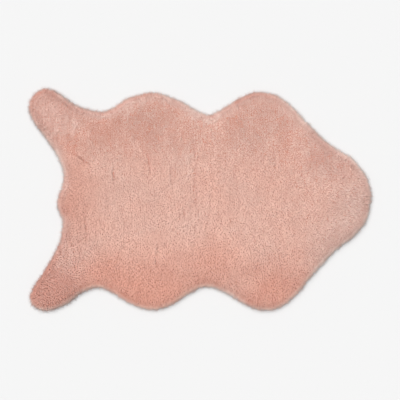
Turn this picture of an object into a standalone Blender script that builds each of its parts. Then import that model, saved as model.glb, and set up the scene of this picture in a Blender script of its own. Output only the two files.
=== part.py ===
"""A faux fur rug cut to the outline of a hide, lying flat with its pile up.

The rug is one panel of plush, so backing and pile are one solid. Its edge is a smooth curve
through the bends of the hide: two paws, two lobes on either side, a blunt nose and a small
tail nub. At the edge the pile ends in pointed locks that droop over the backing. The top is
a field of low lumps, crossed by a few shallow partings. The backing's underside is the flat
sole on z = 0, the origin is in the middle of the rug's length and width, +X points to the
nose and +Z up.
"""

import bisect
import math
import random
from collections import namedtuple

import bmesh
import bpy
from mathutils import Vector, geometry, kdtree, noise

MM = 0.001

# Driving sizes of the whole rug, in metres, over the tips of its locks
RUG_LENGTH = 0.905
RUG_WIDTH = 0.590
RUG_HEIGHT = 0.025

# The edge before the locks are set on it, clockwise from the upper paw. Each bend has a place
# and a heading, and how far the curve keeps near that heading before and after it. In mm and
# degrees, 0 degrees along +X and 90 along +Y.
Bend = namedtuple("Bend", "name x y heading reach_in reach_out")
OUTLINE = (
    Bend("upper paw end", -450, 238, 90, 44, 30),
    Bend("upper paw top", -401, 293, 0, 26, 34),
    Bend("upper rear notch", -255, 232, 0, 66, 28),
    Bend("upper rear lobe", -136, 282, 0, 48, 78),
    Bend("upper waist", 22, 225, 0, 32, 36),
    Bend("upper front lobe", 157, 283, 0, 62, 86),
    Bend("upper cheek", 376, 124, -28, 106, 30),
    Bend("nose", 450, 2, -90, 66, 58),
    Bend("lower cheek", 380, -116, 214, 36, 100),
    Bend("lower front lobe", 178, -291, 180, 72, 74),
    Bend("lower waist", 17, -229, 180, 54, 44),
    Bend("lower rear lobe", -121, -290, 180, 56, 66),
    Bend("lower rear notch", -266, -231, 180, 42, 42),
    Bend("lower paw foot", -402, -292, 180, 52, 26),
    Bend("lower paw end", -448, -254, 90, 22, 38),
    Bend("lower leg", -361, -60, 90, 88, 12),
    Bend("tail nub", -377, -4, 90, 15, 14),
    Bend("upper leg", -358, 60, 90, 22, 64),
)
BEND_STEPS = 48             # short straight steps between one bend and the next

# Locks around the edge, in metres
LOCK_PITCH = 0.0115         # mean distance from one lock's tip to the next
LOCK_SPACING = (0.62, 1.38)  # narrowest and widest lock, as a share of the pitch
LOCK_LEAN = 0.0028          # how far a tip may lie to the side of its lock's root
WAVER_PITCH = 0.045         # the edge wavers in and out, unevenly, about this often
WAVER_RELIEF = 0.0030       # and by up to about half of this

# Rings of points from the sole up to the shoulder, in mm: how far each lies inside the edge
# (less than nothing is outside it) and how high, at a lock's tip and in the gap beside it.
# The last column is how much shorter, at most, a lock may fall.
Ring = namedtuple("Ring", "name tip_inset gap_inset tip_height gap_height shortfall")
RINGS = (
    Ring("sole", 10.0, 10.0, 0.0, 0.0, 0.0),
    Ring("drooping tips", -3.0, 4.5, 3.0, 5.5, 4.0),
    Ring("shoulder", 6.0, 8.5, 15.5, 12.5, 1.5),
)
SOLE, TIPS, SHOULDER = range(len(RINGS))

# The pile's top, in metres
ROLL_WIDTH = 0.028          # the top rolls down to the edge over this width
ROLL_FOOT = 0.004           # height at which that roll would meet the edge
LATTICE_PITCH = 0.0125      # spacing of the points that carry the lumps
LATTICE_JITTER = 0.28       # how far each point strays, as a share of the pitch
CROWN_INSET = 0.0145        # a row of points behind the locks, inside the edge
LATTICE_INSET = 0.0205      # the lattice starts this far inside the edge
Lump = namedtuple("Lump", "name pitch relief")
LUMPS = (
    Lump("broad swell", 0.065, 0.0026),
    Lump("clump of pile", 0.023, 0.0030),
)

# Shallow partings where the pile falls to either side, in mm: from one end to the other, how
# far the middle bows to the left of that line, and the depth there.
Parting = namedtuple("Parting", "name x_from y_from x_to y_to bow depth")
PARTINGS = (
    Parting("long middle", -18, -125, -18, 155, 4, 3.5),
    Parting("bowed middle", 8, -78, 6, 150, -24, 3.0),
    Parting("short middle", -48, -68, -44, -14, 2, 2.5),
    Parting("rear of middle", -70, 22, -76, 92, -3, 2.0),
    Parting("rear upper", -136, 52, -139, 124, 3, 2.5),
    Parting("rear lower", -113, -178, -109, -104, -3, 2.5),
    Parting("hind upper", -222, 40, -224, 92, -3, 2.5),
    Parting("hind lower", -300, -112, -306, -24, 5, 2.0),
    Parting("front upper", 193, 78, 194, 118, 2, 2.5),
    Parting("upper leg crease", -338, 122, -282, 84, -5, 3.5),
    Parting("lower leg crease", -338, -118, -288, -84, 5, 3.0),
)
PARTING_PITCH = 0.012       # spacing of the points along a parting
PARTING_CLEAR = 0.0075      # the lattice keeps this far from a parting

PILE_COLOUR = "DAAA9B"      # sRGB, dusty pink
PILE_ROUGHNESS = 0.95
SHARP_ANGLE = math.radians(55)
SEED = 11


class Edge:
    """The rug's edge as a closed curve that can be read at any distance along it."""

    def __init__(self, points):
        self.points = points
        self.starts = [0.0]
        for here, there in zip(points, points[1:] + points[:1]):
            self.starts.append(self.starts[-1] + (there - here).length)
        self.length = self.starts[-1]
        self.tree = kdtree.KDTree(len(points))
        for index, point in enumerate(points):
            self.tree.insert(point, index)
        self.tree.balance()

    def step(self, index):
        """Unit direction from one point of the curve to the next."""
        here = self.points[index % len(self.points)]
        there = self.points[(index + 1) % len(self.points)]
        return (there - here).normalized()

    def read(self, distance):
        """The point at a distance along the edge, the way along it and the way inward."""
        distance %= self.length
        index = bisect.bisect_right(self.starts, distance) - 1
        along = self.step(index)
        point = self.points[index] + along * (distance - self.starts[index])
        return point, along, to_the_right(along)

    def depth(self, point):
        """How far a point lies inside the edge, less than nothing outside it."""
        nearest, index, distance = self.tree.find(point)
        inward = to_the_right(self.step(index) + self.step(index - 1))
        return math.copysign(distance, (point - nearest).dot(inward))


def to_the_right(direction):
    """The direction at a right angle to the right, which is inward on a clockwise edge."""
    return Vector((direction.y, -direction.x, 0.0))


def heading_vector(degrees, length):
    """A vector of the given length along a heading."""
    angle = math.radians(degrees)
    return Vector((math.cos(angle), math.sin(angle), 0.0)) * length


def bent_edge():
    """The edge through all the bends of the outline."""
    points = []
    for bend, following in zip(OUTLINE, OUTLINE[1:] + OUTLINE[:1]):
        start = Vector((bend.x, bend.y, 0.0)) * MM
        end = Vector((following.x, following.y, 0.0)) * MM
        leaving = start + heading_vector(bend.heading, bend.reach_out * MM)
        arriving = end - heading_vector(following.heading, following.reach_in * MM)
        stretch = geometry.interpolate_bezier(start, leaving, arriving, end, BEND_STEPS + 1)
        points.extend(stretch[:-1])
    return Edge(points)


def lock_stations(edge, chance):
    """Distances along the edge: each lock's tip, then the gap that follows it."""
    count = round(edge.length / LOCK_PITCH)
    widths = [chance.uniform(*LOCK_SPACING) for _ in range(count)]
    unit = edge.length / sum(widths)
    stations = []
    distance = 0.0
    for width in widths:
        stations.append(distance)
        stations.append(distance + 0.5 * width * unit)
        distance += width * unit
    return stations


def ring_points(edge, stations, ring, chance):
    """One ring of points round the rug, with tips and gaps by turns."""
    points = []
    for index, distance in enumerate(stations):
        is_tip = index % 2 == 0
        lean = chance.uniform(-LOCK_LEAN, LOCK_LEAN) if is_tip and ring.shortfall else 0.0
        point, along, inward = edge.read(distance)
        inset = ring.tip_inset if is_tip else ring.gap_inset
        height = ring.tip_height if is_tip else ring.gap_height
        shorter = chance.uniform(0.0, ring.shortfall)
        waver = WAVER_RELIEF * noise.noise(point / WAVER_PITCH)
        place = point + along * lean + inward * ((inset + shorter) * MM + waver)
        place.z = height * MM
        points.append(place)
    return points


def parting_rows():
    """Points along each parting, with the depth of the trough at each."""
    rows = []
    for parting in PARTINGS:
        start = Vector((parting.x_from, parting.y_from, 0.0)) * MM
        end = Vector((parting.x_to, parting.y_to, 0.0)) * MM
        leftward = -to_the_right((end - start).normalized())
        steps = max(3, round((end - start).length / PARTING_PITCH))
        for step in range(steps + 1):
            share = step / steps
            arch = 4.0 * share * (1.0 - share)
            point = start.lerp(end, share) + leftward * parting.bow * MM * arch
            rows.append((point, parting.depth * MM * math.sqrt(arch)))
    return rows


def pile_height(point, depth):
    """Height of the pile's top at a point that lies the given depth inside the edge."""
    share = min(depth / ROLL_WIDTH, 1.0)
    roll = math.sqrt(1.0 - (1.0 - share) ** 2)
    height = ROLL_FOOT + (RUG_HEIGHT - ROLL_FOOT) * roll
    for lump in LUMPS:
        height += lump.relief * noise.noise(point / lump.pitch) * roll
    return height


def top_points(edge, stations, chance):
    """Points of the pile's top inside the shoulder: crown, partings and lumps."""
    points = []
    for distance in stations[::2]:
        point, _, inward = edge.read(distance)
        crown = point + inward * CROWN_INSET
        crown.z = pile_height(crown, CROWN_INSET)
        points.append(crown)
    troughs = parting_rows()
    trough_tree = kdtree.KDTree(len(troughs))
    for index, (point, depth) in enumerate(troughs):
        trough_tree.insert(point, index)
        points.append(Vector((point.x, point.y, pile_height(point, ROLL_WIDTH) - depth)))
    trough_tree.balance()
    row_pitch = LATTICE_PITCH * math.sqrt(3.0) / 2.0
    rows = round(RUG_WIDTH / row_pitch)
    columns = round(RUG_LENGTH / LATTICE_PITCH)
    stray = LATTICE_PITCH * LATTICE_JITTER
    for row in range(rows + 1):
        for column in range(columns + 1):
            x = (column + 0.5 * (row % 2)) * LATTICE_PITCH - RUG_LENGTH / 2.0
            y = row * row_pitch - RUG_WIDTH / 2.0
            x += chance.uniform(-stray, stray)
            y += chance.uniform(-stray, stray)
            point = Vector((x, y, 0.0))
            depth = edge.depth(point)
            if depth < LATTICE_INSET or trough_tree.find(point)[2] < PARTING_CLEAR:
                continue
            point.z = pile_height(point, depth)
            points.append(point)
    return points


def add_walls(bm, rings):
    """Faces from the sole's ring out to the locks and up to the shoulder."""
    for lower, upper in zip(rings, rings[1:]):
        for index in range(len(lower)):
            after = (index + 1) % len(lower)
            tip, gap = (index, after) if index % 2 == 0 else (after, index)
            bm.faces.new((lower[tip], lower[gap], upper[tip]))
            bm.faces.new((lower[gap], upper[gap], upper[tip]))


def add_top(bm, shoulder, points):
    """Triangles over the pile's top, out to the shoulder's ring."""
    inner = [bm.verts.new(point) for point in points]
    corners = shoulder + inner
    flat = [Vector((corner.co.x, corner.co.y)) for corner in corners]
    loop = list(reversed(range(len(shoulder))))
    _, _, triangles, sources, _, _ = geometry.delaunay_2d_cdt(flat, [], [loop], 1, 1e-7)
    for triangle in triangles:
        bm.faces.new([corners[sources[index][0]] for index in triangle])


def fit_to_size(bm):
    """Stretch the rug by a hair to its driving sizes, and centre it on the origin."""
    for axis, size in enumerate((RUG_LENGTH, RUG_WIDTH, RUG_HEIGHT)):
        low = min(vert.co[axis] for vert in bm.verts)
        high = max(vert.co[axis] for vert in bm.verts)
        start = low if axis == 2 else (low + high) / 2.0
        for vert in bm.verts:
            vert.co[axis] = (vert.co[axis] - start) * size / (high - low)


def linear(channel):
    """One sRGB channel from 0 to 1 as linear light."""
    if channel <= 0.04045:
        return channel / 12.92
    return ((channel + 0.055) / 1.055) ** 2.4


def plush_material():
    """Matt dusty pink plush."""
    material = bpy.data.materials.new("faux_fur_plush")
    material.use_nodes = True
    shader = material.node_tree.nodes["Principled BSDF"]
    channels = [int(PILE_COLOUR[start:start + 2], 16) / 255.0 for start in (0, 2, 4)]
    shader.inputs["Base Color"].default_value = [linear(value) for value in channels] + [1.0]
    shader.inputs["Roughness"].default_value = PILE_ROUGHNESS
    shader.inputs["Metallic"].default_value = 0.0
    return material


def fur_pelt():
    """The whole rug as one closed solid."""
    chance = random.Random(SEED)
    edge = bent_edge()
    stations = lock_stations(edge, chance)
    bm = bmesh.new()
    rings = []
    for ring in RINGS:
        points = ring_points(edge, stations, ring, chance)
        rings.append([bm.verts.new(point) for point in points])
    add_walls(bm, rings)
    add_top(bm, rings[SHOULDER], top_points(edge, stations, chance))
    bm.faces.new(rings[SOLE])
    fit_to_size(bm)
    bmesh.ops.recalc_face_normals(bm, faces=bm.faces)
    mesh = bpy.data.meshes.new("fur_pelt")
    bm.to_mesh(mesh)
    bm.free()
    mesh.shade_smooth()
    mesh.set_sharp_from_angle(angle=SHARP_ANGLE)
    mesh.materials.append(plush_material())
    rug = bpy.data.objects.new("fur_pelt", mesh)
    bpy.context.scene.collection.objects.link(rug)
    return rug


def main():
    for old in list(bpy.data.objects):
        bpy.data.objects.remove(old)
    fur_pelt()


main()
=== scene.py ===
"""Looks of a faux fur rug cut to the outline of a hide, laid flat with its pile up.

A knitted backing lies on the floor. On it stands the under-pile, the dense lower half of the
plush, and out of that grow the layers of combed tufts that the eye sees.
"""

import math
from collections import namedtuple

import bmesh
import bpy
import numpy as np
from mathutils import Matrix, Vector, kdtree, noise
from mathutils.bvhtree import BVHTree
from mathutils.geometry import delaunay_2d_cdt


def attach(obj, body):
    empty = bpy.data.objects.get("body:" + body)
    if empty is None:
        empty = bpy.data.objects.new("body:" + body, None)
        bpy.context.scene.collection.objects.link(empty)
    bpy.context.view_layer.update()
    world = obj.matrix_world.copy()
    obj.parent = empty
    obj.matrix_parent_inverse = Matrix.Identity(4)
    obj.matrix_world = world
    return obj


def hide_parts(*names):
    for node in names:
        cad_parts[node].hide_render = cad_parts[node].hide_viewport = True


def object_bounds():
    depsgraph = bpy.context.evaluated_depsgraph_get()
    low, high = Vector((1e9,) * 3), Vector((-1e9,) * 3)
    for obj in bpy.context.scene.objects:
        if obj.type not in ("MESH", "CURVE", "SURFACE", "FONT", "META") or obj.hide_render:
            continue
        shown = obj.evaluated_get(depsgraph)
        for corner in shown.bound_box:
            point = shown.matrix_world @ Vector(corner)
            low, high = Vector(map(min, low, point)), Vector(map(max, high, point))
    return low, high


bl_info = {
    "name": "Faux Fur Hide Rug",
    "version": (1, 0, 0),
    "blender": (4, 5, 0),
    "location": "View3D > Sidebar > Fur Rug",
    "description": "Dresses a plush hide rug in backing, under-pile and combed tufts",
    "category": "Object",
}

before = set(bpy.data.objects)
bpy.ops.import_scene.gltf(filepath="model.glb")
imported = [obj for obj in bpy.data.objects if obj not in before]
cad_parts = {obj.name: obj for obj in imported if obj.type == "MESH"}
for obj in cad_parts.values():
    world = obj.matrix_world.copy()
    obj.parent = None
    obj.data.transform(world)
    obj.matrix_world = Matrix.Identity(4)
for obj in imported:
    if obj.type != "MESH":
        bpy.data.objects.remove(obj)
CAD_LOW, CAD_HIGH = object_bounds()
PELT = "fur_pelt"
BODY = "root"
MM = 0.001
UP = (0.0, 0.0, 1.0)
DOWN = (0.0, 0.0, -1.0)

# The photograph's frame: its side in pixels, the rug's middle there and the real size of one
PHOTO_SIDE = 400
PHOTO_MIDDLE_X = 200.25
PHOTO_MIDDLE_Y = 199.6
PIXEL = 2.62 * MM

# The stage. The floor lies just under the sole, so that the two don't fight in the render
FLOOR_SIZE = 20.0
FLOOR_GAP = 0.3 * MM
ROOM_LIGHT = 0.334
SUN_STRENGTH = 4.60
SUN_SPREAD = math.radians(70.0)
SUN_WAY = Vector((0.15, -0.22, -1.0))
SENSOR_WIDTH = 36.0
FOCAL_LENGTH = 90.0

# Where the pile is combed, and how far it leans: places in mm, headings in degrees with 90
# towards the upper edge, lean as a share of the tuft's height
Comb = namedtuple("Comb", "name x y reach heading lean")
COMBS = (
    Comb("middle", 0, 0, 260, -90, 0.50),
    Comb("nose", 400, 0, 100, -30, 0.45),
    Comb("upper paw", -410, 250, 90, 125, 0.35),
    Comb("lower paw", -405, -250, 90, 165, 0.55),
    Comb("upper rear lobe", -136, 280, 130, 95, 0.30),
    Comb("upper waist", 20, 240, 100, 90, 0.25),
    Comb("upper front lobe", 157, 280, 130, 85, 0.30),
    Comb("upper cheek", 340, 150, 90, 50, 0.30),
    Comb("lower lobes", 20, -260, 90, -80, 0.60),
)

# How light the pile looks, how warm its pink is and how much it is ruffled, place by place.
# Lightness and warmth hold painted light and shade besides the pile's own tone: darker and
# warmer towards the lower side, the lower paw and the left end
Tone = namedtuple("Tone", "name x y reach lightness warmth ruffle")
TONES = (
    Tone("middle", 20, 20, 200, 0.73, 0.50, 0.70),
    Tone("rear middle", -200, 10, 120, 0.72, 0.50, 0.50),
    Tone("front middle", 230, 20, 110, 0.68, 0.47, 0.80),
    Tone("nose", 400, 0, 80, 0.56, 0.19, 0.75),
    Tone("nose rim", 448, 5, 36, 0.34, 0.05, 0.60),
    Tone("upper cheek", 350, 125, 60, 0.30, 0.24, 0.60),
    Tone("upper cheek rim", 388, 152, 34, 2.60, 0.20, 0.50),
    Tone("lower cheek", 360, -130, 60, 0.48, 0.00, 0.60),
    Tone("upper paw", -410, 250, 70, 0.45, 0.42, 0.10),
    Tone("lower paw", -405, -250, 80, 0.18, 0.46, 0.60),
    Tone("left side", -350, 0, 60, 0.43, 0.81, 0.15),
    Tone("lower leg", -345, -110, 55, 0.46, 0.45, 0.50),
    Tone("upper rear lobe", -130, 240, 80, 0.61, 0.22, 0.33),
    Tone("upper waist", 20, 200, 50, 0.86, 0.25, 0.70),
    Tone("upper front lobe", 160, 240, 80, 0.52, 0.08, 0.40),
    Tone("lower rear notch", -240, -205, 55, 0.42, 0.90, 0.60),
    Tone("lower rear lobe", -115, -245, 80, 0.44, 0.90, 0.75),
    Tone("lower front lobe", 180, -245, 80, 0.41, 0.70, 0.90),
    Tone("lower waist", 15, -190, 60, 0.42, 0.80, 0.95),
)

# Creases where the combed pile falls apart: their ends in mm and their bow to the right
Crease = namedtuple("Crease", "name x_from y_from x_to y_to bow depth")
CREASES = (
    Crease("long middle", -18, -125, -18, 155, 7, 0.8),
    Crease("bowed middle", 8, -78, 6, 150, -24, 0.9),
    Crease("short middle", -48, -68, -44, -14, 2, 0.8),
    Crease("rear of middle", -70, 22, -76, 92, -3, 0.7),
    Crease("rear upper", -136, 52, -139, 124, 3, 0.8),
    Crease("rear lower", -113, -178, -109, -104, -3, 0.8),
    Crease("hind upper", -222, 40, -224, 92, -3, 0.8),
    Crease("hind lower", -300, -112, -306, -24, 5, 0.7),
    Crease("front upper", 193, 78, 194, 118, 2, 0.8),
    Crease("upper leg crease", -338, 122, -282, 84, -5, 0.8),
    Crease("lower leg crease", -338, -118, -288, -84, 5, 0.8),
)
CREASE_STEP = 1.5 * MM         # spacing of the points along a crease
CREASE_WOBBLE = 4.0            # how far a crease strays to either side, in mm,
WOBBLE_SIZE = 14.0 * MM        # and over what length
BREAK_SIZE = 22.0 * MM         # a crease grows deeper and shallower over this length
BREAK_SHARE = 0.8
CREASE_WIDTH = 4.5 * MM        # the pile falls apart this far to either side
CREASE_FALL = 0.7

# The backing's edge lies this far inside the sole's, and the under-pile this far above it
BACKING_INSET = 2.5 * MM
BACKING_GAP = 0.3 * MM

# The under-pile's wall, ring by ring from its foot up: how far each lies inside the sole's
# edge and how high, in mm, and how far its tufts splay outward and up
Ring = namedtuple("Ring", "name inset height out up")
WALL = (
    Ring("foot", 3.5, 0.0, 1.1, -0.2),
    Ring("lower", 2.0, 3.5, 1.1, 0.15),
    Ring("upper", 2.0, 7.0, 1.1, 0.45),
    Ring("shoulder", 3.8, 10.5, 0.8, 0.9),
)
FOOT, SHOULDER = WALL[0], WALL[-1]

# The under-pile's top
LATTICE_SEED = 5
LATTICE_STRAY = 0.2            # how far a point strays, as a share of the spacing
LATTICE_INSET = 6.5 * MM       # the points keep this far inside the sole's edge
SMOOTHINGS = 2
CLUMP_LIFT = 0.8 * MM

# How the comb meets the form: tufts lean up a slope, and outward over the rim's width
RIM_WIDTH = 24.0 * MM
UPHILL = 0.8
FLATTEST = 0.3                 # least upright share that a slope is worked out from
EDGE_REACH = 20.0 * MM         # the way outward is averaged over this much more of the edge,
EDGE_FADE = 8.0 * MM           # with weights that fade over this length

# How the look wanders over the pile: sizes, and what each adds to tone, warmth or ruffle
SWELL_SIZE = 55.0 * MM
SWELL_TONE = 0.08
SWELL_RUFFLE = 0.5
STRAND_WIDTH = 14.0 * MM
STRAND_LENGTH = 40.0 * MM
STRAND_TONE = 0.09
HUE_SIZE = 90.0 * MM
HUE_WARMTH = 0.2
# Painted shade: creases are a little darker where the pile falls apart
CREASE_TONE = -0.02

# The side that the light comes from, on the floor. Pile that leans, most of all towards the
# light, shows more of its pale tips and catches more light. Its tone and warmth are evened out
# for that with painted shade, and upright pile gets painted light
LIGHT_SIDE = Vector((-0.56, 0.83))
MOST_SLANT = 0.8
UPRIGHT_TONE = 0.25
SLANT_TONE = 0.57
LIGHT_TONE = 0.20
UPRIGHT_COOLING = 0.26
LIGHT_COOLING = 0.63
MOST_COOLING = 0.45

# The rim is smoother than the top, and is painted a little darker and duller, as painted shade
# where the pile rolls over
RIM_TONE = -0.10
RIM_COOLING = 0.15
RIM_CALM = 0.2
RIM_RUFFLE = 0.5

# On the wall the tips get painted light and shade by the side that the light falls on: painted
# shade on the upper side, and painted light on the last tips low at the edge. They vary in
# patches, and get the most painted light on the side on which they show pale against the floor
WALL_RUFFLE = 0.9
WALL_TONE = 0.15
WALL_UPPER_TONE = -0.20
WALL_LOW_TONE = 0.35
WALL_COOLING = 0.20
PATCH_SIZE = 6.0 * MM
PATCH_TONE = 0.35
PALE_SIDE = Vector((0.75, 0.66))
PALE_FOCUS = 6
PALE_TONE = 0.32
PALE_COOLING = 0.40

# A tuft is widest at this share of its length, if it narrows to its foot too
SPINDLE_BELLY = 0.35

# How tufts gather: the edge of a clump ripples, neighbouring clumps swirl together, and wide
# locks of several clumps lean apart, all measured in clumps
RIPPLE_SCALE = 1.3
RIPPLE = 0.7
SWIRL_SCALE = 0.35
SWIRL_SPREAD = 1.5
SWIRL_SHARE = 0.32
LOCK_SCALE = (0.27, 0.13, 0.13)
LOCK_SHARE = (0.25, 0.08, 0.0)
STRAY_LEAST = (-1.0, -1.0, -0.3)
STRAY_MOST = (1.0, 1.0, 0.3)
STRAY_SEED = 17

# What differs by chance from tuft to tuft: its range, and what is added to the seed for it
Lot = namedtuple("Lot", "name least most seed")
LOTS = (
    Lot("twist", -0.45, 0.45, 3),
    Lot("growth", 0.75, 1.0, 5),
    Lot("width", 0.75, 1.25, 7),
    Lot("shade", -0.12, 0.12, 11),
)
CLUMP_GROWTH = 0.2             # a clump's own share in its tufts' length
CLUMP_SHADE = 0.10             # and in their tone

# The form of a tuft as it stands, and how its tone runs from root to tip
MOST_TUFTS = 900000.0          # for each square metre, before the gap thins them out
RIDGE_LEAN = 0.5
TIP_DROP = 0.45
LOWEST_TIP = 0.7 * MM
TIP_START = 0.75
DARKEST = 0.01
LIGHTEST = 0.98
ROOT_TO_TIP = 0.01
SIDE_TO_SIDE = 0.004

# A wave texture's bands lie this far apart at scale 1
WAVE_STEP = 0.314

# Sockets of a Mix node that mixes colours, and of a Random Value node that gives numbers
FACTOR, FIRST, SECOND, MIXED = 0, 6, 7, 2
LEAST, MOST, SEED, DRAWN = 2, 3, 8, 1
MATH = "ShaderNodeMath"
VECTOR_MATH = "ShaderNodeVectorMath"
CHANCE = "FunctionNodeRandomValue"


def linear(hex_colour):
    """A colour given as sRGB hex, in linear light."""
    channels = [int(hex_colour[start:start + 2], 16) / 255.0 for start in (0, 2, 4)]
    return [c / 12.92 if c <= 0.04045 else ((c + 0.055) / 1.055) ** 2.4 for c in channels]


def colour_property(name, description, hex_colour):
    """A colour that the user can change, with its default given as sRGB hex."""
    return bpy.props.FloatVectorProperty(
        name=name, description=description, subtype="COLOR", size=3, min=0.0, max=1.0,
        default=linear(hex_colour))


def length_property(name, description, millimetres):
    """A length that the user can change, with its default given in millimetres."""
    return bpy.props.FloatProperty(
        name=name, description=description, unit="LENGTH", default=millimetres * MM)


class PileSizes(bpy.types.PropertyGroup):
    """Sizes of the backing and the pile."""

    backing_thickness: length_property("Backing", "Thickness of the knitted backing", 2.0)
    show: length_property("Show", "How far the tufts stand out of the under-pile", 4.5)
    grid: length_property("Grid", "Spacing of the under-pile's points", 3.3)
    tuft_length: length_property("Tuft length", "From a tuft's root to its tip", 8.5)
    tuft_width: length_property("Tuft width", "Across a tuft where it is widest", 1.9)
    tuft_gap: length_property("Tuft gap", "Least distance between two roots", 2.18)
    clump_width: length_property("Clump width", "Clumps of tufts, across the comb", 4.4)
    clump_length: length_property("Clump length", "Clumps of tufts, along the comb", 4.8)
    fringe_length: length_property("Fringe length", "Tufts that splay out at the rim", 9.4)
    fringe_width: length_property("Fringe width", "Across a tuft at the rim", 1.5)
    fringe_gap: length_property("Fringe gap", "Least distance between roots there", 1.15)
    wisp_width: length_property("Wisp width", "Across a single wisp at the rim", 0.8)


class PlushColours(bpy.types.PropertyGroup):
    """Colours of the plush, its backing and the stage."""

    warm_root: colour_property("Warm root", "Foot of the tufts, warm pink", "C97F6A")
    warm_tip: colour_property("Warm tip", "Tip of the tufts, warm pink", "FFCFBC")
    cool_root: colour_property("Cool root", "Foot of the tufts, cooler pink", "C08C7E")
    cool_tip: colour_property("Cool tip", "Tip of the tufts, cooler pink", "F0DBD1")
    deep: colour_property("Deep pile", "Packed fibre between the tufts, in shade", "C08472")
    dense: colour_property("Dense pile", "Packed fibre between the tufts, in light", "D89D8A")
    backing: colour_property("Backing", "Knitted polyester backing", "D9B3A6")
    floor: colour_property("Floor", "Plain pale floor", "C0C0C0")


def add_node(tree, kind, inputs=(), **settings):
    """Adds a node with its settings, and fills its inputs.

    The inputs are a list in the sockets' order, or a dictionary by their names or numbers.
    Each is a plain value, another node's output, or a node, which means its first output.
    """
    node = tree.nodes.new(kind)
    for name, value in settings.items():
        setattr(node, name, value)
    pairs = inputs.items() if isinstance(inputs, dict) else enumerate(inputs)
    for key, value in pairs:
        source = value.outputs[0] if isinstance(value, bpy.types.Node) else value
        if isinstance(source, bpy.types.NodeSocket):
            tree.links.new(source, node.inputs[key])
        else:
            node.inputs[key].default_value = source
    return node


def material(name):
    """An empty material and its node tree."""
    made = bpy.data.materials.new(name)
    made.use_nodes = True
    made.node_tree.nodes.clear()
    return made, made.node_tree


def opaque(colour):
    """A colour with full alpha."""
    return [*colour, 1.0]


def acrylic_pile(colours):
    """Crimped acrylic fibre, dyed pink."""
    # The crimp scatters the light, so the tufts look matt with a soft sheen. Their roots are
    # darker and more saturated, and their tips are pale
    made, tree = material("acrylic_pile")
    # The tone and warmth read here carry painted light and shade, set place by place on the
    # under-pile
    tone = add_node(tree, "ShaderNodeAttribute", attribute_name="tone").outputs["Fac"]
    warmth = add_node(tree, "ShaderNodeAttribute", attribute_name="warmth").outputs["Fac"]
    cool = add_node(tree, "ShaderNodeMix", {
        FACTOR: tone, FIRST: opaque(colours.cool_root), SECOND: opaque(colours.cool_tip)},
        data_type="RGBA")
    warm = add_node(tree, "ShaderNodeMix", {
        FACTOR: tone, FIRST: opaque(colours.warm_root), SECOND: opaque(colours.warm_tip)},
        data_type="RGBA")
    both = add_node(tree, "ShaderNodeMix", {
        FACTOR: warmth, FIRST: cool.outputs[MIXED], SECOND: warm.outputs[MIXED]},
        data_type="RGBA")
    shader = add_node(tree, "ShaderNodeBsdfPrincipled", {
        "Base Color": both.outputs[MIXED], "Roughness": 0.75, "IOR": 1.49,
        "Specular IOR Level": 0.2, "Sheen Weight": 0.12, "Sheen Roughness": 0.45})
    add_node(tree, "ShaderNodeOutputMaterial", {"Surface": shader})
    return made


def dense_pile(colours):
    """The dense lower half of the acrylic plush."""
    # Only fibre ends deep between the tufts show, so its colour is painted shade: a matt mottle
    # of a shaded and a lit copy of the pink. The mottle is drawn at 2 mm, because single fibres
    # are too fine to show
    made, tree = material("dense_acrylic_underpile")
    place = add_node(tree, "ShaderNodeTexCoord").outputs["Object"]
    mottle = add_node(tree, "ShaderNodeTexNoise", {
        "Vector": place, "Scale": 1.0 / (2.0 * MM), "Detail": 3.0}).outputs["Fac"]
    # Painted shade and light: the mottle mixes the shaded and the lit copy of the pink
    pink = add_node(tree, "ShaderNodeMix", {
        FACTOR: mottle, FIRST: opaque(colours.deep), SECOND: opaque(colours.dense)},
        data_type="RGBA")
    relief = add_node(tree, "ShaderNodeBump", {
        "Height": mottle, "Strength": 0.6, "Distance": 1.5 * MM})
    shader = add_node(tree, "ShaderNodeBsdfPrincipled", {
        "Base Color": pink.outputs[MIXED], "Roughness": 0.95, "Specular IOR Level": 0.05,
        "Normal": relief})
    add_node(tree, "ShaderNodeOutputMaterial", {"Surface": shader})
    return made


def knitted_polyester(colours):
    """Warp-knitted polyester, the backing that holds the pile."""
    # Wales 1.6 mm apart cross courses 1.2 mm apart, so rows of small loops show, matt, with
    # painted shade where the yarn dips between them
    made, tree = material("knitted_polyester")
    place = add_node(tree, "ShaderNodeTexCoord").outputs["Object"]
    wales = add_node(tree, "ShaderNodeTexWave", {
        "Vector": place, "Scale": WAVE_STEP / (1.6 * MM), "Distortion": 0.6},
        bands_direction="X").outputs["Fac"]
    courses = add_node(tree, "ShaderNodeTexWave", {
        "Vector": place, "Scale": WAVE_STEP / (1.2 * MM), "Distortion": 0.6},
        bands_direction="Y").outputs["Fac"]
    loops = add_node(tree, MATH, (wales, courses), operation="MULTIPLY")
    shade = add_node(tree, "ShaderNodeMapRange", {
        "Value": loops, "To Min": 0.78, "To Max": 1.0})
    pink = add_node(tree, "ShaderNodeMix", {
        FACTOR: 1.0, FIRST: opaque(colours.backing), SECOND: shade},
        data_type="RGBA", blend_type="MULTIPLY")
    relief = add_node(tree, "ShaderNodeBump", {
        "Height": loops, "Strength": 0.7, "Distance": 0.4 * MM})
    shader = add_node(tree, "ShaderNodeBsdfPrincipled", {
        "Base Color": pink.outputs[MIXED], "Roughness": 0.85, "Specular IOR Level": 0.2,
        "Normal": relief})
    add_node(tree, "ShaderNodeOutputMaterial", {"Surface": shader})
    return made


def painted_floor(colours):
    """Matt emulsion paint on a studio floor."""
    # It has no gloss, so only the rug's soft shadow shows on it
    made, tree = material("matt_painted_floor")
    shader = add_node(tree, "ShaderNodeBsdfPrincipled", {
        "Base Color": opaque(colours.floor), "Roughness": 1.0, "Specular IOR Level": 0.0})
    add_node(tree, "ShaderNodeOutputMaterial", {"Surface": shader})
    return made


def pelt_mesh():
    """The CAD pelt as one merged mesh."""
    bm = bmesh.new()
    bm.from_mesh(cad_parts[PELT].data)
    bmesh.ops.remove_doubles(bm, verts=bm.verts, dist=0.01 * MM)
    return bm


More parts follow.
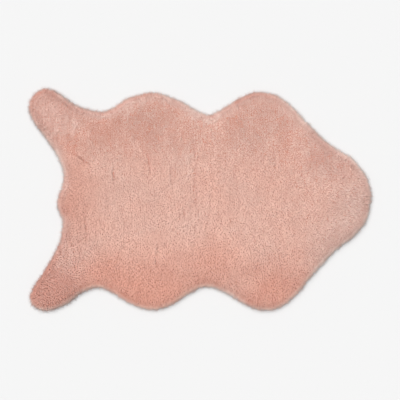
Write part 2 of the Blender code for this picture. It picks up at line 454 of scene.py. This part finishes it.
def sole_loop(bm):
    """The edge of the pelt's flat sole, anticlockwise seen from above."""
    flat = {face for face in bm.faces if max(vert.co.z for vert in face.verts) < 0.01 * MM}
    rim = [edge for edge in bm.edges if sum(face in flat for face in edge.link_faces) == 1]
    after = {}
    for edge in rim:
        after.setdefault(edge.verts[0], []).append(edge.verts[1])
        after.setdefault(edge.verts[1], []).append(edge.verts[0])
    loop = [rim[0].verts[0], after[rim[0].verts[0]][0]]
    while len(loop) < len(rim):
        loop.append(next(vert for vert in after[loop[-1]] if vert is not loop[-2]))
    points = [Vector((vert.co.x, vert.co.y, 0.0)) for vert in loop]
    area = sum(a.x * b.y - b.x * a.y for a, b in zip(points, points[1:] + points[:1]))
    return points if area > 0.0 else points[::-1]


class Loop:
    """The sole's edge, with the way outward at each point."""

    def __init__(self, points):
        self.points = points
        self.outward = []
        count = len(points)
        for index in range(count):
            along = (points[(index + 2) % count] - points[index - 2]).normalized()
            self.outward.append(Vector((along.y, -along.x, 0.0)))
        self.tree = kdtree.KDTree(count)
        for index, point in enumerate(points):
            self.tree.insert(point, index)
        self.tree.balance()

    def ring(self, outset, height):
        """Points at one height, each set outward from the sole's edge."""
        return [point + way * outset + Vector((0.0, 0.0, height))
                for point, way in zip(self.points, self.outward)]

    def depth(self, point):
        """How far a point lies inside the sole's edge, less than nothing outside it."""
        nearest, index, _ = self.tree.find(point)
        return (nearest - point).dot(self.outward[index])

    def way(self, point):
        """The way outward there, averaged over the near points of the sole's edge."""
        least = self.tree.find(point)[2]
        total = Vector()
        for _, index, gap in self.tree.find_range(point, least + EDGE_REACH):
            total += self.outward[index] * math.exp(-((gap - least) / EDGE_FADE) ** 2)
        return total.normalized()


class Folds:
    """The creases, as points that can be asked how the pile falls apart beside them."""

    def __init__(self):
        self.rows = [row for crease in CREASES for row in crease_rows(crease)]
        self.tree = kdtree.KDTree(len(self.rows))
        for index, (point, _) in enumerate(self.rows):
            self.tree.insert(point, index)
        self.tree.balance()

    def parting(self, flat):
        """How far the pile is open at a point, and the way that it falls there."""
        nearest, row, gap = self.tree.find(flat)
        opening = self.rows[row][1] * math.exp(-(gap / CREASE_WIDTH) ** 2)
        return opening, (flat - nearest).normalized()


def crease_rows(crease):
    """Points along a crease, with how deep it is there."""
    start = Vector((crease.x_from, crease.y_from, 0.0)) * MM
    end = Vector((crease.x_to, crease.y_to, 0.0)) * MM
    along = (end - start).normalized()
    rightward = Vector((along.y, -along.x, 0.0))
    steps = round((end - start).length / CREASE_STEP)
    rows = []
    for step in range(steps + 1):
        share = step / steps
        arch = 4.0 * share * (1.0 - share)
        point = start.lerp(end, share) + rightward * crease.bow * MM * arch
        wobble = noise.noise(point / WOBBLE_SIZE) * CREASE_WOBBLE * MM
        lift = Vector((0.0, 0.0, 5.0))
        broken = BREAK_SHARE + BREAK_SHARE * noise.noise(point / BREAK_SIZE + lift)
        rows.append((point + rightward * wobble, crease.depth * math.sqrt(arch) * broken))
    return rows


def add_ring(bm, points):
    """A point of the mesh at each of the points given."""
    return [bm.verts.new(point) for point in points]


def bridge(bm, lower, upper):
    """A wall between two rings of the same count that run anticlockwise."""
    for index, vert in enumerate(lower):
        after = (index + 1) % len(lower)
        bm.faces.new((vert, lower[after], upper[after], upper[index]))


def fill(bm, rim, inner=(), upward=True):
    """Triangles over a rim that runs anticlockwise, through the points inside it."""
    corners = [*rim, *inner]
    flat = [corner.co.xy for corner in corners]
    inside_rim = 1
    tolerance = 1e-7
    _, _, triangles, sources, _, _ = delaunay_2d_cdt(
        flat, [], [list(range(len(rim)))], inside_rim, tolerance)
    for triangle in triangles:
        order = triangle if upward else triangle[::-1]
        bm.faces.new([corners[sources[index][0]] for index in order])


def finished(name, bm, surface):
    """An object at the origin made of a mesh and its one material."""
    mesh = bpy.data.meshes.new(name)
    bm.to_mesh(mesh)
    bm.free()
    mesh.materials.append(surface)
    piece = bpy.data.objects.new(name, mesh)
    bpy.context.scene.collection.objects.link(piece)
    return piece


def seat(piece):
    """Makes a finished piece part of the rug."""
    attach(piece, BODY)
    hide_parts(PELT)


def blended(places, spots, *columns):
    """Columns of a table of places, blended at each spot by nearness. Spots are in metres."""
    centres = np.array([(place.x, place.y) for place in places])
    reach = np.array([place.reach for place in places])
    away = np.linalg.norm(spots[:, None, :2] / MM - centres, axis=2) / reach
    never_nothing = 1e-9
    weights = np.exp(-away * away) + never_nothing
    weights /= weights.sum(axis=1, keepdims=True)
    return [weights @ np.array([column(place) for place in places]) for column in columns]


def write_attribute(mesh, name, kind, values):
    """Keeps a value for each point of a mesh, under a name that materials can read."""
    attribute = mesh.attributes.new(name, kind, "POINT")
    field = "vector" if kind == "FLOAT_VECTOR" else "value"
    attribute.data.foreach_set(field, np.asarray(values, np.float32).ravel())


class FURRUG_OT_backing(bpy.types.Operator):
    """Lay the knitted backing"""

    bl_idname = "furrug.backing"
    bl_label = "Lay backing"

    def execute(self, context):
        sizes = context.scene.pile_sizes
        source = pelt_mesh()
        loop = Loop(sole_loop(source))
        source.free()
        bm = bmesh.new()
        low = add_ring(bm, loop.ring(-BACKING_INSET, 0.0))
        high = add_ring(bm, loop.ring(-BACKING_INSET, sizes.backing_thickness))
        bridge(bm, low, high)
        fill(bm, low, upward=False)
        fill(bm, high)
        bmesh.ops.triangulate(bm, faces=bm.faces)
        piece = finished("knitted_backing", bm, knitted_polyester(context.scene.plush_colours))
        seat(piece)
        return {"FINISHED"}


def stand_wall(bm, loop, lowest):
    """The under-pile's foot and wall. Gives its points' rows in the table, and its top ring."""
    rings = [add_ring(bm, loop.ring(-row.inset * MM, max(row.height * MM, lowest)))
             for row in WALL]
    for lower, upper in zip(rings, rings[1:]):
        bridge(bm, lower, upper)
    fill(bm, rings[0], upward=False)
    rows = {vert: row for ring, row in zip(rings, WALL) for vert in ring}
    return rows, rings[-1]


def lay_lattice(bm, loop, top, sizes):
    """Points in uneven rows, a tuft's show below the pelt's top, inside the shoulder."""
    chance = np.random.default_rng(LATTICE_SEED)
    row_pitch = sizes.grid * math.sqrt(3.0) / 2.0
    points = []
    y = CAD_LOW.y
    row = 0
    while y < CAD_HIGH.y:
        x = CAD_LOW.x + 0.5 * (row % 2) * sizes.grid
        while x < CAD_HIGH.x:
            stray = chance.uniform(-LATTICE_STRAY, LATTICE_STRAY, 2) * sizes.grid
            point = Vector((x + stray[0], y + stray[1], 0.0))
            if loop.depth(point) > LATTICE_INSET:
                hit = top.ray_cast(Vector((point.x, point.y, 1.0)), Vector(DOWN))[0]
                point.z = hit.z - sizes.show
                points.append(bm.verts.new(point))
            x += sizes.grid
        y += row_pitch
        row += 1
    return points


def soften(bm, points, sizes):
    """Smooths the top up and down, then lifts it clump by clump."""
    for _ in range(SMOOTHINGS):
        bmesh.ops.smooth_vert(
            bm, verts=points, factor=0.5, use_axis_x=False, use_axis_y=False,
            use_axis_z=True)
    for vert in points:
        place = Vector((vert.co.x / sizes.clump_width, vert.co.y / sizes.clump_length, 0))
        vert.co.z += CLUMP_LIFT * noise.noise(place)


def rim_share(loop, flat):
    """How far a point belongs to the rim: one at the shoulder, nothing well inside it."""
    inside = (loop.depth(flat) - SHOULDER.inset * MM) / RIM_WIDTH
    return min(max(1.0 - inside, 0.0), 1.0) ** 2


def comb(normal, lean, fall, outward, rim):
    """The way that tufts stand: combed, up a slope, apart at a crease, outward at the rim."""
    steep = max(normal.z, FLATTEST)
    uphill = Vector((-normal.x / steep, -normal.y / steep, 0.0))
    upright = Vector((*lean, 1.0)) + uphill * UPHILL * (1.0 - rim)
    upright += fall
    return upright.lerp(outward, rim).normalized()


def tone_with_painted_light(tone, warmth, flat, way, rim, opening):
    """Tone and warmth of the tufts at a point: the wandering, painted shade at creases and the
    rim, and painted light and shade for how the pile leans to the light.
    """
    swell = noise.noise(flat / SWELL_SIZE)
    strand = noise.noise(Vector((flat.x / STRAND_WIDTH, flat.y / STRAND_LENGTH, 7.0)))
    hue = noise.noise(Vector((flat.x / HUE_SIZE, flat.y / HUE_SIZE, 3.0)))
    tone += SWELL_TONE * swell + STRAND_TONE * strand + CREASE_TONE * opening
    warmth += HUE_WARMTH * hue
    slant = min(way.xy.length / max(way.z, FLATTEST), MOST_SLANT)
    to_light = slant * way.xy.normalized().dot(LIGHT_SIDE)
    tone += UPRIGHT_TONE - SLANT_TONE * slant - LIGHT_TONE * to_light
    warmth -= min(max(UPRIGHT_COOLING + LIGHT_COOLING * to_light, 0.0), MOST_COOLING)
    return tone + RIM_TONE * rim, warmth - RIM_COOLING * rim


def wall_tone_with_painted_light(tone, warmth, flat, edge, up):
    """Tone and warmth of the tufts on the wall, with painted light and shade by the side that
    the light falls on.
    """
    tone += WALL_TONE + WALL_UPPER_TONE * edge.y + WALL_LOW_TONE * (1.0 - up)
    tone += PATCH_TONE * noise.noise(flat / PATCH_SIZE)
    pale = max(edge.xy.dot(PALE_SIDE), 0.0) ** PALE_FOCUS
    return tone + PALE_TONE * pale, warmth - PALE_COOLING * pale - WALL_COOLING


# The under-pile's attributes. The crown and the fringe say where tufts of each kind grow
MARKS = (
    ("combed", "FLOAT_VECTOR"),
    ("tone", "FLOAT"),
    ("warmth", "FLOAT"),
    ("ruffle", "FLOAT"),
    ("crown", "FLOAT"),
    ("fringe", "FLOAT"),
)


def pile_marks(bm, loop, wall):
    """What the tufts need to know at each point of the under-pile, by attribute."""
    spots = np.array([vert.co[:] for vert in bm.verts])
    leans = np.transpose(blended(
        COMBS, spots, lambda c: c.lean * math.cos(math.radians(c.heading)),
        lambda c: c.lean * math.sin(math.radians(c.heading))))
    looks = np.transpose(blended(
        TONES, spots, lambda t: t.lightness, lambda t: t.warmth, lambda t: t.ruffle))
    folds = Folds()
    marks = {name: [] for name, _ in MARKS}
    for vert, lean, (tone, warmth, ruffle) in zip(bm.verts, leans, looks):
        flat = Vector((vert.co.x, vert.co.y, 0.0))
        rim = rim_share(loop, flat)
        opening, apart = folds.parting(flat)
        edge = loop.way(flat)
        row = wall.get(vert, SHOULDER)
        outward = edge * row.out
        outward.z = row.up
        way = comb(vert.normal, lean, apart * CREASE_FALL * opening, outward, rim)
        # Painted light and shade: the tone is evened out for the pile's lean to the light, and
        # is darker at creases and the rim
        tone, warmth = tone_with_painted_light(tone, warmth, flat, way, rim, opening)
        swell = noise.noise(flat / SWELL_SIZE)
        ruffle *= (1.0 + SWELL_RUFFLE * swell) * (1.0 - RIM_CALM * rim)
        ruffle = max(ruffle, WALL_RUFFLE if vert in wall else RIM_RUFFLE * rim)
        # Painted light and shade on the wall, by the side that the light falls on
        if vert in wall:
            tone, warmth = wall_tone_with_painted_light(tone, warmth, flat, edge, row.up)
        marks["combed"].append(way)
        marks["tone"].append(tone)
        marks["warmth"].append(warmth)
        marks["ruffle"].append(ruffle)
        marks["crown"].append(float(row is not FOOT))
        marks["fringe"].append(float(vert in wall and row is not FOOT))
    return marks


class FURRUG_OT_under_pile(bpy.types.Operator):
    """Stand the dense under-pile on the backing"""

    bl_idname = "furrug.under_pile"
    bl_label = "Stand under-pile"

    def execute(self, context):
        sizes = context.scene.pile_sizes
        source = pelt_mesh()
        top = BVHTree.FromBMesh(source)
        loop = Loop(sole_loop(source))
        source.free()
        bm = bmesh.new()
        wall, shoulder = stand_wall(bm, loop, sizes.backing_thickness + BACKING_GAP)
        inner = lay_lattice(bm, loop, top, sizes)
        fill(bm, shoulder, inner)
        soften(bm, inner, sizes)
        bmesh.ops.triangulate(bm, faces=bm.faces)
        bmesh.ops.recalc_face_normals(bm, faces=bm.faces)
        bm.normal_update()
        marks = pile_marks(bm, loop, wall)
        piece = finished("under_pile", bm, dense_pile(context.scene.plush_colours))
        piece.data.shade_smooth()
        for name, kind in MARKS:
            write_attribute(piece.data, name, kind, marks[name])
        seat(piece)
        return {"FINISHED"}


def tuft_form(name, belly):
    """One flat tuft with a ridge on its upper side, one unit long, wide and thick.

    It is widest at its belly. With the belly at the foot it is a plain spike, otherwise it
    narrows to a point there too.
    """
    places = [Vector((x, y, belly)) for x, y in ((0.0, 0.65), (-0.5, -0.35), (0.5, -0.35))]
    places.append(Vector(UP))
    faces = [(0, 1, 3), (1, 2, 3), (2, 0, 3)]
    side = [-1.0, 0.0, 1.0, 0.0]
    if belly > 0.0:
        places.append(Vector((0.0, 0.0, 0.0)))
        faces += [(1, 0, 4), (2, 1, 4), (0, 2, 4)]
        side.append(0.0)
    else:
        faces.append((2, 1, 0))
    mesh = bpy.data.meshes.new(name)
    mesh.from_pydata(places, [], faces)
    write_attribute(mesh, "along", "FLOAT", [place.z for place in places])
    write_attribute(mesh, "side", "FLOAT", side)
    form = bpy.data.objects.new(name, mesh)
    bpy.context.scene.collection.objects.link(form)
    return form


TUFT_INPUTS = (
    ("Surface", "NodeSocketGeometry"),
    ("Form", "NodeSocketObject"),
    ("Material", "NodeSocketMaterial"),
    ("Where", "NodeSocketString"),
    ("Gap", "NodeSocketFloat"),
    ("Length", "NodeSocketFloat"),
    ("Width", "NodeSocketFloat"),
    ("Thickness", "NodeSocketFloat"),
    ("Clump Width", "NodeSocketFloat"),
    ("Clump Length", "NodeSocketFloat"),
    ("Clump Lean", "NodeSocketFloat"),
    ("Stray", "NodeSocketFloat"),
    ("Droop", "NodeSocketFloat"),
    ("Tip Light", "NodeSocketFloat"),
    ("Seed", "NodeSocketInt"),
)

# The attributes that the tree reads, from the under-pile, the tuft's form and its own steps
READ = (
    ("combed", "FLOAT_VECTOR"),
    ("tone", "FLOAT"),
    ("warmth", "FLOAT"),
    ("ruffle", "FLOAT"),
    ("along", "FLOAT"),
    ("side", "FLOAT"),
    ("bend", "FLOAT_VECTOR"),
    ("shade", "FLOAT"),
)

# Those that are taken off a finished layer
SCAFFOLD = ("bend", "shade", "along", "side", "combed", "crown", "fringe")

# A tree in the making: its group inputs, the attributes it reads and its draws by chance
Making = namedtuple("Making", "tree given marks lots")


def clump_nodes(making, place):
    """The size of a clump, a root's place counted in clumps, and the clump it belongs to."""
    tree, given, _, _ = making
    cell = add_node(tree, "ShaderNodeCombineXYZ", (
        given["Clump Width"], given["Clump Length"], given["Clump Length"]))
    spot = add_node(tree, VECTOR_MATH, (place, cell), operation="DIVIDE")
    ripple = add_node(tree, "ShaderNodeTexNoise", {"Vector": spot, "Scale": RIPPLE_SCALE})
    shift = add_node(tree, VECTOR_MATH, {0: ripple.outputs["Color"], "Scale": RIPPLE},
                     operation="SCALE")
    spot = add_node(tree, VECTOR_MATH, (spot, shift), operation="ADD")
    clump = add_node(tree, "ShaderNodeTexVoronoi", {"Vector": spot, "Scale": 1.0})
    return cell, spot, clump


def ruffle_nodes(making, cell, spot, clump):
    """What turns a tuft from the comb: its clump, the swirl, the parting locks and chance."""
    tree, given, _, _ = making
    inward = add_node(tree, VECTOR_MATH, (clump.outputs["Position"], spot),
                      operation="SUBTRACT")
    inward = add_node(tree, VECTOR_MATH, (inward, cell), operation="MULTIPLY")
    pull = add_node(tree, MATH, (given["Clump Lean"], given["Length"]), operation="DIVIDE")
    pulled = add_node(tree, VECTOR_MATH, {0: inward, "Scale": pull}, operation="SCALE")
    wide = add_node(tree, VECTOR_MATH, {0: spot, "Scale": SWIRL_SCALE}, operation="SCALE")
    swirl = add_node(tree, "ShaderNodeTexNoise", {"Vector": wide, "Scale": 1.0, "Detail": 1.0})
    swing = add_node(tree, VECTOR_MATH, (swirl.outputs["Color"], (0.5, 0.5, 0.5)),
                     operation="SUBTRACT")
    swing = add_node(tree, VECTOR_MATH, {0: swing, "Scale": SWIRL_SPREAD}, operation="SCALE")
    swung = add_node(tree, VECTOR_MATH, {0: swing, "Scale": SWIRL_SHARE}, operation="SCALE")
    broad = add_node(tree, VECTOR_MATH, (spot, LOCK_SCALE), operation="MULTIPLY")
    lock = add_node(tree, "ShaderNodeTexVoronoi", {"Vector": broad, "Scale": 1.0})
    parted = add_node(tree, VECTOR_MATH, (lock.outputs["Position"], broad),
                      operation="SUBTRACT")
    parted = add_node(tree, VECTOR_MATH, (parted, LOCK_SHARE), operation="MULTIPLY")
    seed = add_node(tree, MATH, (given["Seed"], STRAY_SEED), operation="ADD")
    stray = add_node(tree, CHANCE, {0: STRAY_LEAST, 1: STRAY_MOST, SEED: seed},
                     data_type="FLOAT_VECTOR")
    strayed = add_node(tree, VECTOR_MATH, {0: stray, "Scale": given["Stray"]},
                       operation="SCALE")
    total = pulled
    for part in (swung, parted, strayed):
        total = add_node(tree, VECTOR_MATH, (total, part), operation="ADD")
    return add_node(tree, VECTOR_MATH, {0: total, "Scale": making.marks["ruffle"]},
                    operation="SCALE")


def turn_nodes(making, way):
    """A tuft's turn: along its way with its ridge up, twisted a little by chance."""
    tree, _, marks, lots = making
    leant = add_node(tree, VECTOR_MATH, {0: marks["combed"], "Scale": RIDGE_LEAN},
                     operation="SCALE")
    ridge = add_node(tree, VECTOR_MATH, (UP, leant), operation="ADD")
    flat = add_node(tree, "FunctionNodeAxesToRotation", {
        "Primary Axis": way, "Secondary Axis": ridge}, primary_axis="Z", secondary_axis="Y")
    twist = add_node(tree, "FunctionNodeAxisAngleToRotation", {
        "Axis": UP, "Angle": lots["twist"]})
    return add_node(tree, "FunctionNodeRotateRotation", {
        "Rotation": flat, "Rotate By": twist}, rotation_space="LOCAL")


def size_nodes(making, clump_lot):
    """A tuft's length, and its width, thickness and length together."""
    tree, given, _, lots = making
    grown = add_node(tree, MATH, (clump_lot, CLUMP_GROWTH, lots["growth"]),
                     operation="MULTIPLY_ADD")
    length = add_node(tree, MATH, (given["Length"], grown), operation="MULTIPLY")
    width = add_node(tree, MATH, (given["Width"], lots["width"]), operation="MULTIPLY")
    thick = add_node(tree, MATH, (width, given["Thickness"]), operation="MULTIPLY")
    return length, add_node(tree, "ShaderNodeCombineXYZ", (width, thick, length))


def bend_nodes(making, way, length):
    """How far a tuft's tip is carried on along its way and down."""
    tree, given, _, _ = making
    flat_way = add_node(tree, VECTOR_MATH, (way, (1.0, 1.0, 0.0)), operation="MULTIPLY")
    falling = add_node(tree, VECTOR_MATH, (flat_way, (0.0, 0.0, TIP_DROP)),
                       operation="SUBTRACT")
    droop = add_node(tree, MATH, (length, given["Droop"]), operation="MULTIPLY")
    return add_node(tree, VECTOR_MATH, {0: falling, "Scale": droop}, operation="SCALE")


def shade_nodes(making, clump_lot):
    """A tuft's tone: that of its place, changed by its clump and by chance."""
    tree, _, marks, lots = making
    own = add_node(tree, MATH, (clump_lot.outputs[1], 0.5), operation="SUBTRACT")
    shade = add_node(tree, MATH, (own, CLUMP_SHADE, marks["tone"]), operation="MULTIPLY_ADD")
    return add_node(tree, MATH, (shade, lots["shade"]), operation="ADD")


def bent_nodes(making, tufts, place):
    """The tufts' points moved: bent towards the tip, and none of them in the floor."""
    tree, _, marks, _ = making
    curl = add_node(tree, MATH, (marks["along"], marks["along"]), operation="MULTIPLY")
    offset = add_node(tree, VECTOR_MATH, {0: marks["bend"], "Scale": curl}, operation="SCALE")
    bent = add_node(tree, "GeometryNodeSetPosition", {"Geometry": tufts, "Offset": offset})
    no_limit = -10.0
    above = add_node(tree, VECTOR_MATH, (place, (no_limit, no_limit, LOWEST_TIP)),
                     operation="MAXIMUM")
    return add_node(tree, "GeometryNodeSetPosition", {"Geometry": bent, "Position": above})


def toned_nodes(making, tufts):
    """The tufts with their tone from root to tip, and a map of tone and warmth to bake by."""
    tree, given, marks, _ = making
    beyond = add_node(tree, MATH, (marks["along"], TIP_START), operation="SUBTRACT")
    rise = add_node(tree, MATH, (beyond, given["Tip Light"]), operation="MULTIPLY")
    tone = add_node(tree, MATH, (marks["shade"], rise), operation="ADD")
    tone = add_node(tree, "ShaderNodeClamp", {"Value": tone, "Min": DARKEST, "Max": LIGHTEST})
    tone = add_node(tree, MATH, (marks["along"], ROOT_TO_TIP, tone), operation="MULTIPLY_ADD")
    toned = add_node(tree, "GeometryNodeStoreNamedAttribute", {
        "Geometry": tufts, "Name": "tone", "Value": tone}, data_type="FLOAT")
    spread = add_node(tree, MATH, (marks["side"], SIDE_TO_SIDE, marks["warmth"]),
                      operation="MULTIPLY_ADD")
    spread = add_node(tree, "ShaderNodeCombineXYZ", (marks["tone"], spread))
    return add_node(tree, "GeometryNodeStoreNamedAttribute", {
        "Geometry": toned, "Name": "OFBake", "Value": spread},
        data_type="FLOAT2", domain="CORNER")


def start_tree():
    """The tuft tree with its inputs, the attributes that it reads and its draws by chance."""
    tree = bpy.data.node_groups.new("combed_tufts", "GeometryNodeTree")
    for name, kind in TUFT_INPUTS:
        tree.interface.new_socket(name, in_out="INPUT", socket_type=kind)
    tree.interface.new_socket("Geometry", in_out="OUTPUT", socket_type="NodeSocketGeometry")
    given = add_node(tree, "NodeGroupInput").outputs
    marks = {}
    for name, kind in READ:
        marks[name] = add_node(tree, "GeometryNodeInputNamedAttribute", {"Name": name},
                               data_type=kind)
    lots = {}
    for lot in LOTS:
        seed = add_node(tree, MATH, (given["Seed"], lot.seed), operation="ADD")
        drawn = add_node(tree, CHANCE, {LEAST: lot.least, MOST: lot.most, SEED: seed})
        lots[lot.name] = drawn.outputs[DRAWN]
    return Making(tree, given, marks, lots)


def tuft_tree():
    """Tufts scattered evenly over a surface, clumped, combed and bent."""
    making = start_tree()
    tree, given, marks, _ = making
    weight = add_node(tree, "GeometryNodeInputNamedAttribute", {"Name": given["Where"]})
    kept = add_node(tree, "GeometryNodeDistributePointsOnFaces", {
        "Mesh": given["Surface"], "Distance Min": given["Gap"], "Density Max": MOST_TUFTS,
        "Density Factor": weight, "Seed": given["Seed"]}, distribute_method="POISSON")
    place = add_node(tree, "GeometryNodeInputPosition")
    cell, spot, clump = clump_nodes(making, place)
    ruffled = ruffle_nodes(making, cell, spot, clump)
    way = add_node(tree, VECTOR_MATH, (marks["combed"], ruffled), operation="ADD")
    way = add_node(tree, VECTOR_MATH, (way,), operation="NORMALIZE")
    clump_lot = add_node(tree, "ShaderNodeSeparateXYZ", (clump.outputs["Color"],))
    length, size = size_nodes(making, clump_lot)
    bend = bend_nodes(making, way, length)
    shade = shade_nodes(making, clump_lot)
    for name, kind, value in (("bend", "FLOAT_VECTOR", bend), ("shade", "FLOAT", shade)):
        kept = add_node(tree, "GeometryNodeStoreNamedAttribute", {
            "Geometry": kept, "Name": name, "Value": value}, data_type=kind)
    form = add_node(tree, "GeometryNodeObjectInfo", {"Object": given["Form"]})
    copies = add_node(tree, "GeometryNodeInstanceOnPoints", {
        "Points": kept, "Instance": form.outputs["Geometry"],
        "Rotation": turn_nodes(making, way), "Scale": size})
    real = add_node(tree, "GeometryNodeRealizeInstances", {"Geometry": copies})
    toned = toned_nodes(making, bent_nodes(making, real, place))
    smooth = add_node(tree, "GeometryNodeSetShadeSmooth", {"Geometry": toned})
    dyed = add_node(tree, "GeometryNodeSetMaterial", {
        "Geometry": smooth, "Material": given["Material"]})
    add_node(tree, "NodeGroupOutput", (dyed,))
    return tree


def grow(name, tree, settings):
    """Runs the tuft tree over the under-pile and keeps the result as a plain mesh."""
    surface = bpy.data.objects["under_pile"]
    ground = bpy.data.objects.new(name + "_ground", surface.data.copy())
    bpy.context.scene.collection.objects.link(ground)
    modifier = ground.modifiers.new("Tufts", "NODES")
    modifier.node_group = tree
    for item in tree.interface.items_tree:
        if item.in_out == "INPUT" and item.name in settings:
            modifier[item.identifier] = settings[item.name]
    depsgraph = bpy.context.evaluated_depsgraph_get()
    mesh = bpy.data.meshes.new_from_object(ground.evaluated_get(depsgraph))
    bpy.data.objects.remove(ground)
    for attribute in SCAFFOLD:
        if attribute in mesh.attributes:
            mesh.attributes.remove(mesh.attributes[attribute])
    mesh.name = name
    piece = bpy.data.objects.new(name, mesh)
    bpy.context.scene.collection.objects.link(piece)
    seat(piece)
    return piece


class FURRUG_OT_tufts(bpy.types.Operator):
    """Grow the layers of combed tufts and the fringe at the rim"""

    bl_idname = "furrug.tufts"
    bl_label = "Grow tufts"

    def execute(self, context):
        sizes = context.scene.pile_sizes
        tree = tuft_tree()
        cone = tuft_form("cone_tuft", 0.0)
        spindle = tuft_form("spindle_tuft", SPINDLE_BELLY)
        common = {
            "Form": cone, "Material": acrylic_pile(context.scene.plush_colours),
            "Clump Width": sizes.clump_width, "Clump Length": sizes.clump_length,
            "Length": sizes.tuft_length, "Width": sizes.tuft_width, "Gap": sizes.tuft_gap,
            "Clump Lean": 0.68, "Stray": 0.17, "Droop": 0.25, "Tip Light": 0.3,
            "Thickness": 0.45, "Where": "crown",
        }
        layers = (
            ("pile_layer_1", {"Seed": 1}),
            ("pile_layer_2", {"Seed": 2}),
            ("pile_layer_3", {"Seed": 3}),
            ("guard_tufts", {"Seed": 4, "Form": spindle, "Gap": sizes.tuft_gap * 1.27}),
            ("rim_fringe", {"Seed": 5, "Form": spindle, "Where": "fringe",
                            "Length": sizes.fringe_length, "Gap": sizes.fringe_gap,
                            "Width": sizes.fringe_width, "Stray": 0.45, "Clump Lean": 1.4,
                            "Droop": 0.1}),
            ("rim_wisps", {"Seed": 6, "Where": "fringe", "Length": sizes.fringe_length * 1.45,
                           "Gap": sizes.fringe_gap * 1.25, "Width": sizes.wisp_width,
                           "Stray": 0.60, "Thickness": 1.0, "Clump Lean": 0.9}),
        )
        pile = [grow(name, tree, {**common, **changes}) for name, changes in layers]
        bpy.data.objects.remove(cone)
        bpy.data.objects.remove(spindle)
        return {"FINISHED"}


def lay_floor(colours):
    """A wide flat floor just under the sole."""
    bm = bmesh.new()
    bmesh.ops.create_grid(bm, x_segments=1, y_segments=1, size=FLOOR_SIZE)
    bmesh.ops.translate(bm, verts=bm.verts, vec=(0.0, 0.0, -FLOOR_GAP))
    finished("floor", bm, painted_floor(colours))


def light_room(scene):
    """An even white room, and a wide soft light from the upper left."""
    world = bpy.data.worlds.new("soft_white_room")
    world.use_nodes = True
    white = world.node_tree.nodes["Background"]
    white.inputs["Color"].default_value = (1, 1, 1, 1)
    white.inputs["Strength"].default_value = ROOM_LIGHT
    scene.world = world
    sun = bpy.data.lights.new("window_light", "SUN")
    sun.energy = SUN_STRENGTH
    sun.angle = SUN_SPREAD
    lamp = bpy.data.objects.new("window_light", sun)
    lamp.rotation_euler = SUN_WAY.to_track_quat("-Z", "Y").to_euler()
    scene.collection.objects.link(lamp)


def aim_camera(scene):
    """A camera straight above, which sees the photograph's frame."""
    lens = bpy.data.cameras.new("overhead")
    lens.sensor_width = SENSOR_WIDTH
    lens.lens = FOCAL_LENGTH
    view_width = PHOTO_SIDE * PIXEL
    camera = bpy.data.objects.new("overhead", lens)
    camera.location = (
        (PHOTO_SIDE / 2.0 - PHOTO_MIDDLE_X) * PIXEL,
        (PHOTO_MIDDLE_Y - PHOTO_SIDE / 2.0) * PIXEL,
        view_width * lens.lens / lens.sensor_width)
    scene.collection.objects.link(camera)
    scene.camera = camera


class FURRUG_OT_stage(bpy.types.Operator):
    """Set the floor, light and camera"""

    bl_idname = "furrug.stage"
    bl_label = "Set stage"

    def execute(self, context):
        lay_floor(context.scene.plush_colours)
        light_room(context.scene)
        aim_camera(context.scene)
        context.scene.view_settings.view_transform = "Standard"
        return {"FINISHED"}


class FURRUG_PT_panel(bpy.types.Panel):
    """Sizes, colours and steps of the rug"""

    bl_label = "Fur Rug"
    bl_idname = "FURRUG_PT_panel"
    bl_space_type = "VIEW_3D"
    bl_region_type = "UI"
    bl_category = "Fur Rug"

    def draw(self, context):
        for group in (context.scene.pile_sizes, context.scene.plush_colours):
            for name in group.__annotations__:
                self.layout.prop(group, name)
        for step in STEPS:
            self.layout.operator(step.bl_idname)


STEPS = (FURRUG_OT_backing, FURRUG_OT_under_pile, FURRUG_OT_tufts, FURRUG_OT_stage)
CLASSES = (PileSizes, PlushColours, *STEPS, FURRUG_PT_panel)


def register():
    """Adds the rug's settings, steps and panel to Blender."""
    for made in CLASSES:
        bpy.utils.register_class(made)
    bpy.types.Scene.pile_sizes = bpy.props.PointerProperty(type=PileSizes)
    bpy.types.Scene.plush_colours = bpy.props.PointerProperty(type=PlushColours)


def unregister():
    """Takes them away again."""
    del bpy.types.Scene.plush_colours
    del bpy.types.Scene.pile_sizes
    for made in reversed(CLASSES):
        bpy.utils.unregister_class(made)


def main():
    """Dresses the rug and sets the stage."""
    register()
    bpy.ops.furrug.backing()
    bpy.ops.furrug.under_pile()
    bpy.ops.furrug.tufts()
    bpy.ops.furrug.stage()


if __name__ == "__main__":
    main()
